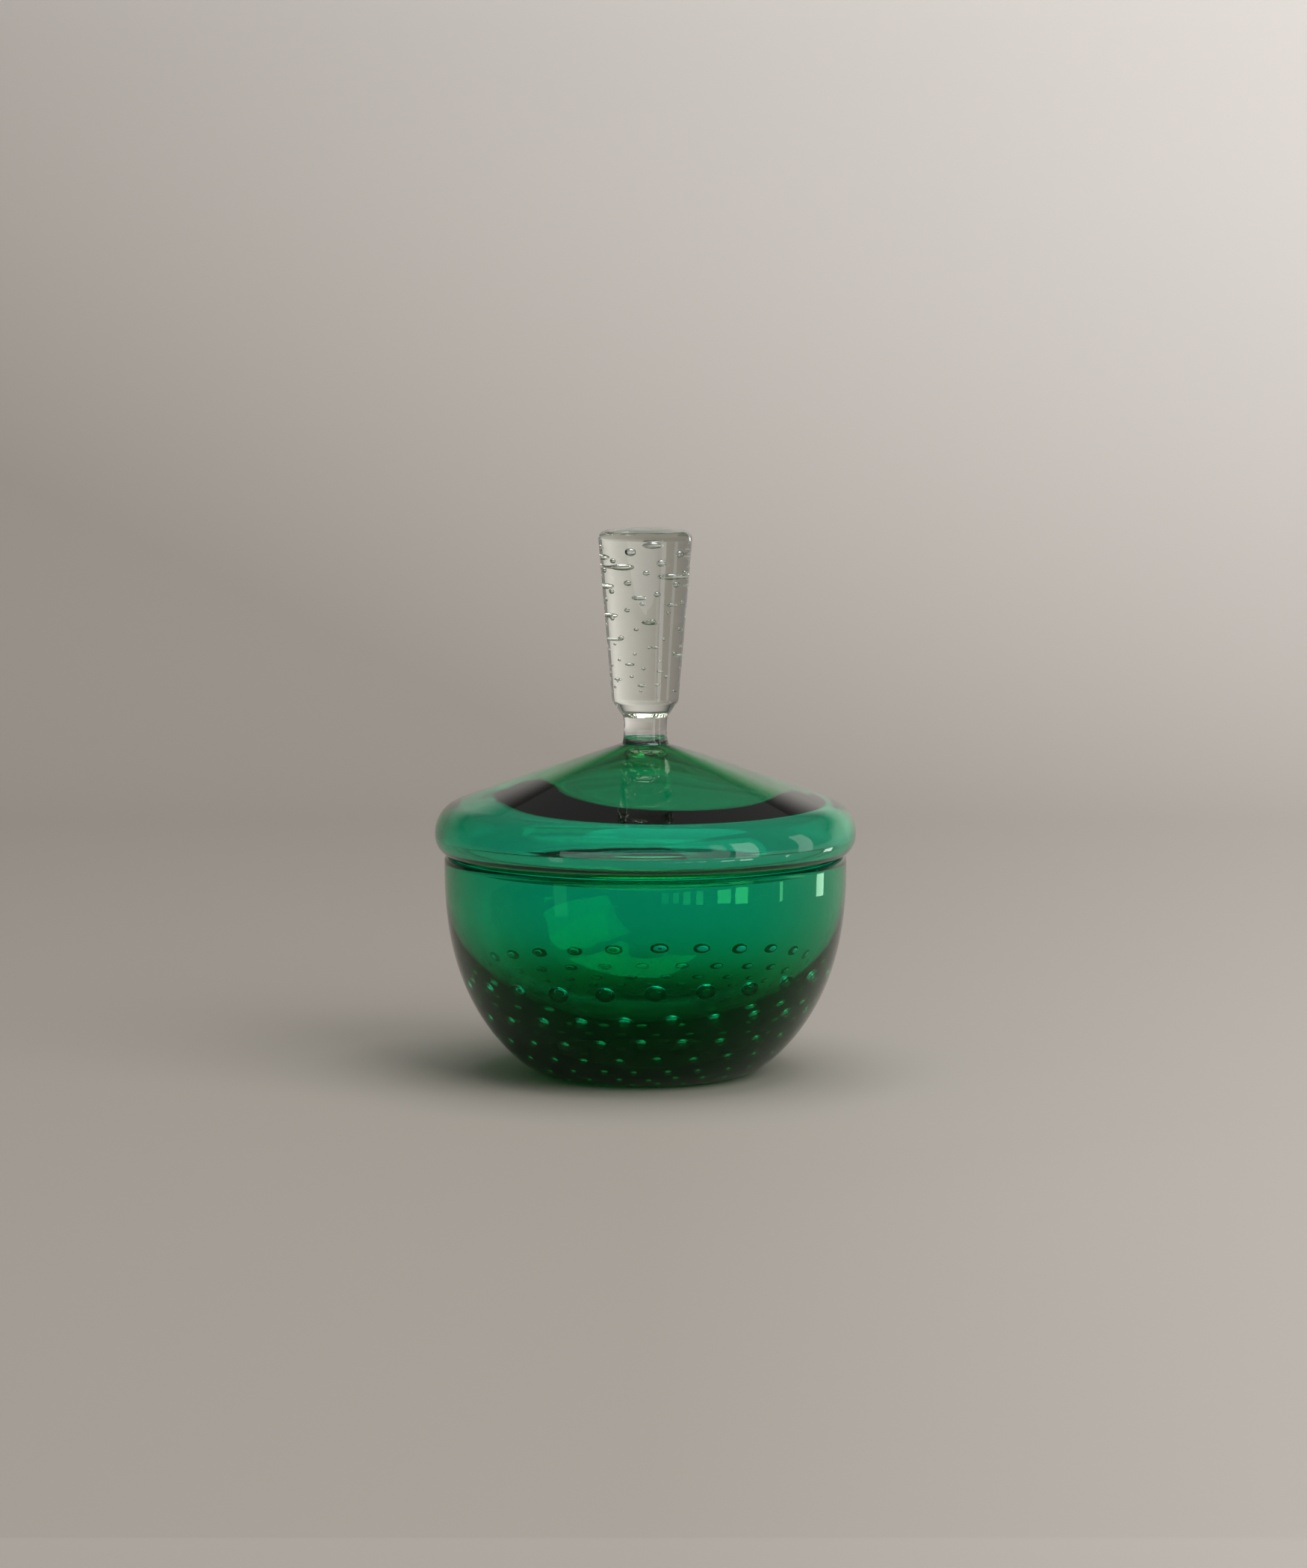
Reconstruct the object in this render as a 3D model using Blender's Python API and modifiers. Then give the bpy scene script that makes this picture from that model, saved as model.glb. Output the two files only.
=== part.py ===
"""Covered powder jar in blown glass: a bubble-cased bowl, a domed lid and a solid finial.

The jar stands on the XY plane with its axis on +Z. The bowl is one blown piece, the lid is
another that sits on the bowl's rim, and the clear finial is a solid piece fused to the lid's crown.
"""

import math

import bpy

# Bowl (metres)
BOWL_HEIGHT = 0.0706            # foot to the top of the rim
BOWL_RADIUS = 0.0647            # outside radius just under the rim
BOWL_BASE_RADIUS = 0.0350       # where the outside curve would meet the table
BOWL_FOOT_ROUNDING = 0.0180     # radius that rounds the curve into the flat foot
BOWL_OUTER_FULLNESS = 2.46      # exponent of the outside curve: 2 is an ellipse, more is fuller
BOWL_INNER_FULLNESS = 3.10      # exponent of the inside curve
BOWL_RIM_WALL = 0.0030          # wall at the rim
BOWL_BASE_WALL = 0.0060         # thick base under the middle of the floor

# Lid (metres, radians)
LID_OVERHANG = 0.0030           # the widest line stands out past the bowl by this much
LID_LOW_SLOPE = math.radians(20.7)    # slope of the crown where it leaves the shoulder
LID_HIGH_SLOPE = math.radians(18.4)   # slope of the crown at the finial
LID_SHOULDER_RADIUS = 0.0100    # arc from the crown down to the widest line
LID_BAND_HEIGHT = 0.0010        # straight band at the widest line
LID_ROLL_RADIUS = 0.0066        # arc that rolls the edge under
LID_EDGE_WALL = 0.0025          # wall at the edge, the roll and the flange
LID_CROWN_WALL = 0.0055         # wall of the thick crown
LID_TAPER_WIDTH = 0.0180        # the wall thins from the crown's to the edge's over this width
LID_TAPER_INSET = 0.0010        # the taper ends this far in from the shoulder
LID_CROWN_ROUNDING = 0.0080     # softens the inside of the crown at the axis
LID_FLANGE_DEPTH = 0.0030       # how far the flange hangs below the bowl's rim
LID_FLANGE_FILLET = 0.0008      # fillet between the roll and the flange

# Finial (metres)
FINIAL_NECK_HEIGHT = 0.0084     # foot to the shoulder's start
FINIAL_FOOT_RADIUS = 0.0075
FINIAL_WAIST_RADIUS = 0.0069    # narrowest part of the neck
FINIAL_COLLAR_RADIUS = 0.0072   # where the neck meets the shoulder
FINIAL_SHOULDER_HEIGHT = 0.0050
FINIAL_SHOULDER_ROUNDING = 0.0030     # rounds the shoulder into the body
FINIAL_LOW_RADIUS = 0.0107      # body just above the shoulder
FINIAL_TOP_RADIUS = 0.0153      # body at the top, before its edge is rounded
FINIAL_BODY_HEIGHT = 0.0547     # shoulder to the edge of the top
FINIAL_EDGE_RADIUS = 0.0026     # rounding of the top edge
FINIAL_CROWN_RISE = 0.0006      # the top face swells by this much

# Fits (metres)
SEAT_GAP = 0.0003               # lid on rim, and finial on crown
FLANGE_CLEARANCE = 0.0020       # between the flange and the bowl's inside wall

# Sizes that follow from the ones above (metres)
LID_RADIUS = BOWL_RADIUS + LID_OVERHANG
BOWL_BORE_RADIUS = BOWL_RADIUS - BOWL_RIM_WALL

# Fineness of the turned shapes
BOWL_STEPS = 48
LID_STEPS = 48
FINIAL_STEPS = 32
ARC_STEP = math.radians(18.0)   # longest turn between two outline points on an arc

# Colours, linear
EMERALD = (0.004, 0.190, 0.095, 1.0)
SEA_GREEN = (0.020, 0.230, 0.130, 1.0)
CLEAR = (0.760, 0.780, 0.740, 1.0)


def arc(centre, radius, start, end):
    """Points (r, z) on an arc about centre, from angle start to angle end."""
    count = max(2, math.ceil(abs(end - start) / ARC_STEP))
    angles = [start + (end - start) * i / count for i in range(count + 1)]
    return [(centre[0] + radius * math.cos(a), centre[1] + radius * math.sin(a)) for a in angles]


def smoothstep(u):
    """0 below 0, 1 above 1, and smooth in between."""
    u = min(1.0, max(0.0, u))
    return u * u * (3.0 - 2.0 * u)


def fillet(before, corner, after, radius):
    """Points (r, z) of an arc that rounds the corner between two straight runs."""
    run_in = (before[0] - corner[0], before[1] - corner[1])
    run_out = (after[0] - corner[0], after[1] - corner[1])
    length_in = math.hypot(*run_in)
    length_out = math.hypot(*run_out)
    unit_in = (run_in[0] / length_in, run_in[1] / length_in)
    unit_out = (run_out[0] / length_out, run_out[1] / length_out)
    half = 0.5 * math.acos(unit_in[0] * unit_out[0] + unit_in[1] * unit_out[1])
    bisector = (unit_in[0] + unit_out[0], unit_in[1] + unit_out[1])
    reach = radius / math.sin(half) / math.hypot(*bisector)
    centre = (corner[0] + bisector[0] * reach, corner[1] + bisector[1] * reach)
    tangent = radius / math.tan(half)
    first = (corner[0] + unit_in[0] * tangent, corner[1] + unit_in[1] * tangent)
    last = (corner[0] + unit_out[0] * tangent, corner[1] + unit_out[1] * tangent)
    start = math.atan2(first[1] - centre[1], first[0] - centre[0])
    end = math.atan2(last[1] - centre[1], last[0] - centre[0])
    turn = math.remainder(end - start, 2.0 * math.pi)
    return arc(centre, radius, start, start + turn)


def turn_outline(name, outline, steps, material, parent, collection):
    """One solid of revolution about Z; the outline runs top to bottom down its outer side."""
    mesh = bpy.data.meshes.new(name)
    points = [(r, 0.0, z) for r, z in outline]
    edges = [(i, i + 1) for i in range(len(points) - 1)]
    mesh.from_pydata(points, edges, [])
    mesh.materials.append(material)
    obj = bpy.data.objects.new(name, mesh)
    collection.objects.link(obj)
    obj.parent = parent
    screw = obj.modifiers.new("Turn", "SCREW")
    screw.axis = "Z"
    screw.angle = 2.0 * math.pi
    screw.steps = steps
    screw.render_steps = steps
    screw.use_merge_vertices = True
    screw.merge_threshold = 0.00001
    screw.use_smooth_shade = True
    return obj


def glass(name, colour):
    """Polished glass: colour in the body of the glass, gloss on its surface."""
    material = bpy.data.materials.new(name)
    material.use_nodes = True
    shader = material.node_tree.nodes["Principled BSDF"]
    shader.inputs["Base Color"].default_value = colour
    shader.inputs["Roughness"].default_value = 0.03
    shader.inputs["Metallic"].default_value = 0.0
    shader.inputs["IOR"].default_value = 1.5
    shader.inputs["Transmission Weight"].default_value = 0.9
    return material


def bowl_outline():
    """Inside from the floor's middle up to the rim, then down the outside to the foot's middle."""
    half_wall = 0.5 * BOWL_RIM_WALL
    spring = BOWL_HEIGHT - half_wall
    inner_depth = spring - BOWL_BASE_WALL
    inner_count = 13
    outline = []
    for i in range(inner_count):
        angle = 0.5 * math.pi * (1.0 - i / inner_count)
        drop = inner_depth * math.sin(angle) ** (2.0 / BOWL_INNER_FULLNESS)
        outline.append((BOWL_BORE_RADIUS * math.cos(angle), spring - drop))
    outline[0] = (0.0, BOWL_BASE_WALL)

    outline += arc((BOWL_RADIUS - half_wall, spring), half_wall, math.pi, 0.0)

    base_share = 1.0 - (BOWL_BASE_RADIUS / BOWL_RADIUS) ** 2
    outer_depth = spring / base_share ** (1.0 / BOWL_OUTER_FULLNESS)
    base_angle = math.acos(BOWL_BASE_RADIUS / BOWL_RADIUS)
    outer_count = 12
    outside = []
    for i in range(1, outer_count + 1):
        angle = base_angle * i / outer_count
        drop = outer_depth * math.sin(angle) ** (2.0 / BOWL_OUTER_FULLNESS)
        outside.append((BOWL_RADIUS * math.cos(angle), spring - drop))
    corner = (BOWL_BASE_RADIUS, 0.0)
    outside = [point for point in outside if math.dist(point, corner) > 0.4 * BOWL_FOOT_ROUNDING]
    outline += outside
    outline += fillet(outside[-1], corner, (0.0, 0.0), BOWL_FOOT_ROUNDING)
    outline.append((0.0, 0.0))
    return outline


def lid_centres():
    """Centres (r, z) of the lid's roll, shoulder and crown arcs, and the crown's radius.

    The roll rests on the rounded rim, the shoulder stands on the roll's band, and the crown is a
    shallow arc that leaves the shoulder without a corner.
    """
    half_wall = 0.5 * BOWL_RIM_WALL
    roll_r = LID_RADIUS - LID_ROLL_RADIUS
    rim_offset = BOWL_RADIUS - half_wall - roll_r
    seat_distance = half_wall + SEAT_GAP + LID_ROLL_RADIUS
    roll_z = BOWL_HEIGHT - half_wall + math.sqrt(seat_distance ** 2 - rim_offset ** 2)
    shoulder_r = LID_RADIUS - LID_SHOULDER_RADIUS
    shoulder_z = roll_z + LID_BAND_HEIGHT
    meet_r = shoulder_r + LID_SHOULDER_RADIUS * math.sin(LID_LOW_SLOPE)
    crown_radius = (meet_r - FINIAL_FOOT_RADIUS) / (math.sin(LID_LOW_SLOPE) - math.sin(LID_HIGH_SLOPE))
    crown_r = meet_r - crown_radius * math.sin(LID_LOW_SLOPE)
    lift = (crown_radius - LID_SHOULDER_RADIUS) * math.cos(LID_LOW_SLOPE)
    return (roll_r, roll_z), (shoulder_r, shoulder_z), (crown_r, shoulder_z - lift), crown_radius


def crown_height(r):
    """Height of the crown's outside at radius r; inside the seat it runs on at the seat's slope."""
    _, _, centre, radius = lid_centres()
    outer = max(r, FINIAL_FOOT_RADIUS)
    height = centre[1] + math.sqrt(radius ** 2 - (outer - centre[0]) ** 2)
    return height + (outer - r) * math.tan(LID_HIGH_SLOPE)


def lid_outline():
    """Outside from the crown's seat down to the roll and the flange, then up the inside."""
    roll, shoulder, crown, crown_radius = lid_centres()
    low = 0.5 * math.pi - LID_LOW_SLOPE
    high = 0.5 * math.pi - LID_HIGH_SLOPE
    under_z = roll[1] - LID_ROLL_RADIUS
    flange_outer = BOWL_BORE_RADIUS - FLANGE_CLEARANCE
    flange_inner = flange_outer - LID_EDGE_WALL
    half_wall = 0.5 * LID_EDGE_WALL
    flange_end = BOWL_HEIGHT - LID_FLANGE_DEPTH + half_wall

    outline = [(0.0, crown_height(FINIAL_FOOT_RADIUS))]
    outline += arc(crown, crown_radius, high, low)
    outline += arc(shoulder, LID_SHOULDER_RADIUS, low, 0.0)[1:]
    outline += arc(roll, LID_ROLL_RADIUS, 0.0, -0.5 * math.pi)
    outline += arc((flange_outer + LID_FLANGE_FILLET, under_z - LID_FLANGE_FILLET), LID_FLANGE_FILLET,
                   0.5 * math.pi, math.pi)
    outline += arc((flange_outer - half_wall, flange_end), half_wall, 0.0, -math.pi)
    inner_fillet = LID_FLANGE_FILLET + LID_EDGE_WALL
    outline += arc((flange_inner + inner_fillet, under_z + LID_EDGE_WALL - inner_fillet), inner_fillet,
                   math.pi, 0.5 * math.pi)
    outline += arc(roll, LID_ROLL_RADIUS - LID_EDGE_WALL, -0.5 * math.pi, 0.0)
    outline += arc(shoulder, LID_SHOULDER_RADIUS - LID_EDGE_WALL, 0.0, low)

    inner_start = outline[-1][0]
    inner_count = 14
    for i in range(1, inner_count + 1):
        r = inner_start * (1.0 - i / inner_count)
        thick = smoothstep((inner_start - LID_TAPER_INSET - r) / LID_TAPER_WIDTH)
        wall = LID_EDGE_WALL + (LID_CROWN_WALL - LID_EDGE_WALL) * thick
        softened = math.hypot(r, LID_CROWN_ROUNDING * thick)
        outline.append((r, crown_height(softened) - wall / math.cos(LID_LOW_SLOPE)))
    return outline


def finial_outline():
    """Top face, tapering body, shoulder and neck, down to the foot on the lid's seat."""
    foot_z = crown_height(FINIAL_FOOT_RADIUS) + SEAT_GAP
    neck_z = foot_z + FINIAL_NECK_HEIGHT
    low_z = neck_z + FINIAL_SHOULDER_HEIGHT
    top_z = low_z + FINIAL_BODY_HEIGHT

    outline = [(0.0, top_z + FINIAL_CROWN_RISE), (0.5 * FINIAL_TOP_RADIUS, top_z + 0.75 * FINIAL_CROWN_RISE)]
    outline += fillet((0.0, top_z), (FINIAL_TOP_RADIUS, top_z), (FINIAL_LOW_RADIUS, low_z), FINIAL_EDGE_RADIUS)
    outline += fillet((FINIAL_TOP_RADIUS, top_z), (FINIAL_LOW_RADIUS, low_z), (FINIAL_COLLAR_RADIUS, neck_z),
                      FINIAL_SHOULDER_ROUNDING)
    outline.append((FINIAL_COLLAR_RADIUS, neck_z))
    neck_count = 4
    for i in range(1, neck_count):
        share = i / neck_count
        straight = FINIAL_COLLAR_RADIUS + (FINIAL_FOOT_RADIUS - FINIAL_COLLAR_RADIUS) * share
        outline.append((straight - (straight - FINIAL_WAIST_RADIUS) * math.sin(math.pi * share),
                        neck_z - FINIAL_NECK_HEIGHT * share))
    outline.append((FINIAL_FOOT_RADIUS, foot_z))
    outline.append((0.0, foot_z))
    return outline


def main():
    for obj in list(bpy.data.objects):
        bpy.data.objects.remove(obj, do_unlink=True)

    collection = bpy.data.collections.new("powder_jar")
    bpy.context.scene.collection.children.link(collection)

    jar = bpy.data.objects.new("jar", None)
    collection.objects.link(jar)
    cover = bpy.data.objects.new("cover", None)
    collection.objects.link(cover)
    cover.parent = jar

    turn_outline("bowl", bowl_outline(), BOWL_STEPS, glass("emerald glass", EMERALD), jar, collection)
    turn_outline("lid", lid_outline(), LID_STEPS, glass("sea green glass", SEA_GREEN), cover, collection)
    turn_outline("finial", finial_outline(), FINIAL_STEPS, glass("clear glass", CLEAR), cover, collection)


main()
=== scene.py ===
"""Looks of a covered powder jar in blown bubble glass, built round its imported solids.

The emerald bowl, the sea green lid and the clear finial are each turned from an outline by a
Geometry Nodes tree. A second tree sets rings of trapped air bubbles inside the bowl's wall and a
spiral of them inside the finial. All lengths are in metres.
"""

import math

import bpy
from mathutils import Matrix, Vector


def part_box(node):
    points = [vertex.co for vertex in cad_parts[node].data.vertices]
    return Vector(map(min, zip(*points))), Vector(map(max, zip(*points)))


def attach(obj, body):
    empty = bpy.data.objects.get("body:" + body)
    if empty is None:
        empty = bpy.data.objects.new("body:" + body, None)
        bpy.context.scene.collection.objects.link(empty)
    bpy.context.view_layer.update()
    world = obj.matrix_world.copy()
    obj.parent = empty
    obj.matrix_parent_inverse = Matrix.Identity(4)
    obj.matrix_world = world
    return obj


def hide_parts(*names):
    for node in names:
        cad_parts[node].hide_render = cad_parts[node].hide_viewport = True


bl_info = {
    "name": "Bubble Glass Powder Jar",
    "version": (1, 0, 0),
    "blender": (4, 5, 0),
    "location": "View3D > Sidebar > Powder Jar",
    "description": "Builds a covered powder jar in blown glass with trapped air bubbles",
    "category": "Add Mesh",
}

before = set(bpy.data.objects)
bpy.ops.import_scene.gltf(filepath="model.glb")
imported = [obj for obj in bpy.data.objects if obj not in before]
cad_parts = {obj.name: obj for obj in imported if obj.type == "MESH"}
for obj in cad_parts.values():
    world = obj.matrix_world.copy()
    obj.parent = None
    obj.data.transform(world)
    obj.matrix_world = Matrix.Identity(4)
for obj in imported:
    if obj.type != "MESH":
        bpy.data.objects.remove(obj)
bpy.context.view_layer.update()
BOWL_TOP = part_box("bowl")[1]
LID_LOW, LID_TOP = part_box("lid")
FINIAL_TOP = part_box("finial")[1]

ARC_STEP = math.radians(5.0)

# Points along the curved runs of the outlines. The neck's first few give way to the collar's arc.
BOWL_COUNT = 90
TRACK_COUNT = 200
CROWN_OUTER_COUNT = 60
CROWN_INNER_COUNT = 110
DOME_COUNT = 24
TOP_COUNT = 11
NECK_COUNT = 20
NECK_FIRST = 4

# How near the bowl's foot, in roundings, its curve gives way to the rounding, and how many rims of
# depth the unevenness inside stays away from the rim.
FOOT_REACH = 0.4
RIPPLE_START = 3.0

# Where the lid's inside changes: how far past the band its shoulder starts, and over which shares of
# its crown, from the shoulder inwards, it takes on the full swell and is softened towards the middle.
SHOULDER_START = math.radians(2.0)
SWELL_START_SHARE = 0.125
CROWN_SOFT_SHARE = 0.25

# Turning: steps round the axis, waves of unevenness per metre, and how close two points are one.
VESSEL_STEPS = 192
FINIAL_STEPS = 128
RIPPLE_SCALE = 30.0
MERGE_DISTANCE = 0.0000005
BOWL_RIPPLE_SEED = 3.0
LID_RIPPLE_SEED = 5.0

# The paper sweep: where it ends in front, its wall behind, half its width, its bend, and how far it
# lies under the jar's foot so that the two faces never share a place.
PAPER_FRONT = -2.2
PAPER_WALL = 1.0
PAPER_HALF_WIDTH = 1.6
PAPER_BEND = 0.35
PAPER_BEND_STEPS = 18
PAPER_DROP = 0.0002

# How much paler the paper is painted per metre to the right and up, as painted window light, and
# how dark painted shade makes it high on the wall and far in front.
PAPER_PAINTED_LIGHT = (0.85, 0.0, 2.0)
PAPER_PAINTED_SHADE_HIGH = 0.1
PAPER_PAINTED_SHADE_NEAR = 0.45

# Square soft lamps: place, point that they face, side in metres, power in watts, and colour.
LAMPS = {
    "window_light": ((1.15, -1.05, 1.05), (0.0, 0.0, 0.05), 1.6, 25.0, (1.0, 0.985, 0.97)),
    "overhead_light": ((0.15, -0.08, 1.70), (0.0, 0.0, 0.0), 1.3, 17.0, (1.0, 0.985, 0.98)),
}

# Glowing panes round the jar, no lamps, that only reflections see: painted highlights. Azimuth in
# degrees from the front towards the right, width, height and strength. They paint the polished
# glass's small crisp highlights.
PANE_DISTANCE = 0.17
PANE_HEIGHT = 0.048
PANES = [
    (-40.0, 0.020, 0.030, 1.5),
    (9.0, 0.010, 0.007, 1.5),
    (14.0, 0.008, 0.007, 2.0),
    (19.0, 0.010, 0.009, 2.5),
    (25.0, 0.010, 0.010, 3.0),
    (37.0, 0.020, 0.010, 5.0),
    (46.0, 0.020, 0.012, 6.0),
    (69.0, 0.006, 0.014, 5.0),
    (100.0, 0.022, 0.016, 6.0),
]
TALL_PANE_HEIGHT = 0.105
TALL_PANES = [
    (33.0, 0.020, 0.09, 1.5),
    (46.0, 0.035, 0.09, 3.0),
    (80.0, 0.030, 0.09, 2.0),
]

# A wide low glowing card in front, no lamp, that only reflections see: a painted reflection. Place,
# width, height and strength. It softens the lower half of the bowl.
FRONT_CARD = ((0.0, -0.6, 0.10), 1.2, 0.20, 1.8)

# The room: lit a little more from the window's side, with a faintly warm light.
ROOM_LIGHT_FROM = (0.6, -0.6, 0.3)
ROOM_LIGHT_REACH = 0.8
ROOM_DARK = 0.12
ROOM_LIGHT = 0.30
ROOM_COLOUR = (1.0, 0.985, 0.96, 1.0)

# Light has to pass through many walls of glass and bubbles.
GLASS_BOUNCES = 32
GLOSSY_BOUNCES = 16
CAMERA_REACH = 50.0


# Colours and nodes


def linear(code):
    """Linear RGB of an sRGB hex colour such as "1a7f5c"."""
    channels = [int(code[i:i + 2], 16) / 255.0 for i in (0, 2, 4)]
    return tuple(c / 12.92 if c <= 0.04045 else ((c + 0.055) / 1.055) ** 2.4 for c in channels)


def add_node(tree, kind, inputs=None, **settings):
    """Add a node; inputs maps a socket to a value, to the socket that feeds it, or to a whole node.

    A whole node stands for its first output.
    """
    node = tree.nodes.new(kind)
    for name, value in settings.items():
        setattr(node, name, value)
    for key, value in (inputs or {}).items():
        if isinstance(value, bpy.types.Node):
            value = value.outputs[0]
        if isinstance(value, bpy.types.NodeSocket):
            tree.links.new(value, node.inputs[key])
        else:
            node.inputs[key].default_value = value
    return node


def new_material(name):
    """A material with nodes, all removed, and its tree."""
    material = bpy.data.materials.new(name)
    material.use_nodes = True
    material.node_tree.nodes.clear()
    return material, material.node_tree


def new_object(name, data):
    """A new object in the scene, at the origin."""
    item = bpy.data.objects.new(name, data)
    bpy.context.scene.collection.objects.link(item)
    return item


def new_tree(name, sockets):
    """A Geometry Nodes tree with a geometry in and out, and one named input for each socket given."""
    tree = bpy.data.node_groups.new(name, "GeometryNodeTree")
    tree.interface.new_socket("Geometry", in_out="OUTPUT", socket_type="NodeSocketGeometry")
    tree.interface.new_socket("Geometry", in_out="INPUT", socket_type="NodeSocketGeometry")
    for label, kind in sockets:
        tree.interface.new_socket(label, in_out="INPUT", socket_type="NodeSocket" + kind)
    return tree


def evaluate(name, points, weights, tree, values):
    """Run a tree on a polyline of (r, z) points and return the plain mesh that it makes."""
    line = bpy.data.meshes.new(name + "_line")
    edges = [(i, i + 1) for i in range(len(points) - 1)]
    line.from_pydata([(r, 0.0, z) for r, z in points], edges, [])
    attribute = line.attributes.new("inside", "FLOAT", "POINT")
    attribute.data.foreach_set("value", weights)
    holder = new_object(name + "_line", line)
    modifier = holder.modifiers.new(tree.name, "NODES")
    modifier.node_group = tree
    sockets = [item for item in tree.interface.items_tree if item.in_out == "INPUT"]
    identifiers = {socket.name: socket.identifier for socket in sockets}
    for label, value in values.items():
        modifier[identifiers[label]] = value
    graph = bpy.context.evaluated_depsgraph_get()
    mesh = bpy.data.meshes.new_from_object(holder.evaluated_get(graph))
    holder.modifiers.remove(modifier)
    bpy.data.objects.remove(holder)
    bpy.data.meshes.remove(line)
    return mesh


def turning_tree():
    """Turns a polyline about Z into a closed shell, with a slight hand-made unevenness inside."""
    tree = new_tree("Turned Glass", [
        ("Steps", "Int"), ("Swell Centre", "Vector"), ("Swell Radius", "Float"), ("Swell Taper", "Float"),
        ("Swell Depth", "Float"), ("Ripple", "Float"), ("Ripple Size", "Float"), ("Seed", "Float"),
        ("Material", "Material"),
    ])
    given = add_node(tree, "NodeGroupInput").outputs
    size = add_node(tree, "GeometryNodeAttributeDomainSize", {0: given["Geometry"]})
    columns = add_node(tree, "ShaderNodeMath", {0: given["Steps"], 1: 1.0}, operation="ADD")
    grid = add_node(tree, "GeometryNodeMeshGrid", {
        "Vertices X": size.outputs["Point Count"], "Vertices Y": columns,
    })
    index = add_node(tree, "GeometryNodeInputIndex")
    share = add_node(tree, "ShaderNodeMath", {0: index, 1: columns}, operation="DIVIDE")
    row = add_node(tree, "ShaderNodeMath", {0: share}, operation="FLOOR")
    column = add_node(tree, "ShaderNodeMath", {0: index, 1: columns}, operation="MODULO")
    turn = add_node(tree, "ShaderNodeMath", {0: column, 1: given["Steps"]}, operation="DIVIDE")
    angle = add_node(tree, "ShaderNodeMath", {0: turn, 1: 2.0 * math.pi}, operation="MULTIPLY")
    line_position = add_node(tree, "GeometryNodeInputPosition")
    point = add_node(tree, "GeometryNodeSampleIndex", {
        "Geometry": given["Geometry"], "Value": line_position, "Index": row,
    }, data_type="FLOAT_VECTOR")
    named = add_node(tree, "GeometryNodeInputNamedAttribute", {"Name": "inside"}, data_type="FLOAT")
    inside = add_node(tree, "GeometryNodeSampleIndex", {
        "Geometry": given["Geometry"], "Value": named, "Index": row,
    }, data_type="FLOAT")
    turned = add_node(tree, "ShaderNodeVectorRotate", {
        "Vector": point, "Angle": angle,
    }, rotation_type="Z_AXIS")

    # The swell: extra glass under the inside, round a centre that may lie off the axis.
    level = add_node(tree, "ShaderNodeVectorMath", {
        0: turned, 1: (1.0, 1.0, 0.0),
    }, operation="MULTIPLY")
    away = add_node(tree, "ShaderNodeVectorMath", {
        0: level, 1: given["Swell Centre"],
    }, operation="DISTANCE")
    full_radius = add_node(tree, "ShaderNodeMath", {
        0: given["Swell Radius"], 1: given["Swell Taper"],
    }, operation="SUBTRACT")
    swell = add_node(tree, "ShaderNodeMapRange", {
        "Value": away.outputs["Value"], "From Min": given["Swell Radius"], "From Max": full_radius,
        "To Min": 0.0, "To Max": given["Swell Depth"],
    }, interpolation_type="SMOOTHSTEP")
    drop = add_node(tree, "ShaderNodeMath", {0: swell, 1: inside}, operation="MULTIPLY")
    down = add_node(tree, "ShaderNodeVectorMath", {
        0: (0.0, 0.0, -1.0), "Scale": drop,
    }, operation="SCALE")
    shifted = add_node(tree, "ShaderNodeVectorMath", {0: turned, 1: down}, operation="ADD")
    waves = add_node(tree, "ShaderNodeTexNoise", {
        "Vector": turned, "W": given["Seed"], "Scale": given["Ripple Size"], "Detail": 1.0,
    }, noise_dimensions="4D")
    swing = add_node(tree, "ShaderNodeMath", {0: waves, 1: 0.5}, operation="SUBTRACT")
    height = add_node(tree, "ShaderNodeMath", {0: swing, 1: given["Ripple"]}, operation="MULTIPLY")
    inner_height = add_node(tree, "ShaderNodeMath", {0: height, 1: inside}, operation="MULTIPLY")
    first = add_node(tree, "GeometryNodeSetPosition", {
        "Geometry": grid.outputs["Mesh"], "Position": shifted,
    })

    # The ripple is read before the doubles merge and carried along as an attribute.
    stored = add_node(tree, "GeometryNodeStoreNamedAttribute", {
        "Geometry": first, "Name": "ripple", "Value": inner_height,
    }, data_type="FLOAT", domain="POINT")
    merged = add_node(tree, "GeometryNodeMergeByDistance", {
        "Geometry": stored, "Distance": MERGE_DISTANCE,
    })
    carried = add_node(tree, "GeometryNodeInputNamedAttribute", {"Name": "ripple"}, data_type="FLOAT")
    normal = add_node(tree, "GeometryNodeInputNormal")
    push = add_node(tree, "ShaderNodeVectorMath", {0: normal, "Scale": carried}, operation="SCALE")
    rippled = add_node(tree, "GeometryNodeSetPosition", {"Geometry": merged, "Offset": push})
    smooth = add_node(tree, "GeometryNodeSetShadeSmooth", {"Geometry": rippled})
    real = add_node(tree, "GeometryNodeRealizeInstances", {"Geometry": smooth})
    painted = add_node(tree, "GeometryNodeSetMaterial", {
        "Geometry": real, "Material": given["Material"],
    })
    add_node(tree, "NodeGroupOutput", {0: painted})
    return tree


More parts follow.
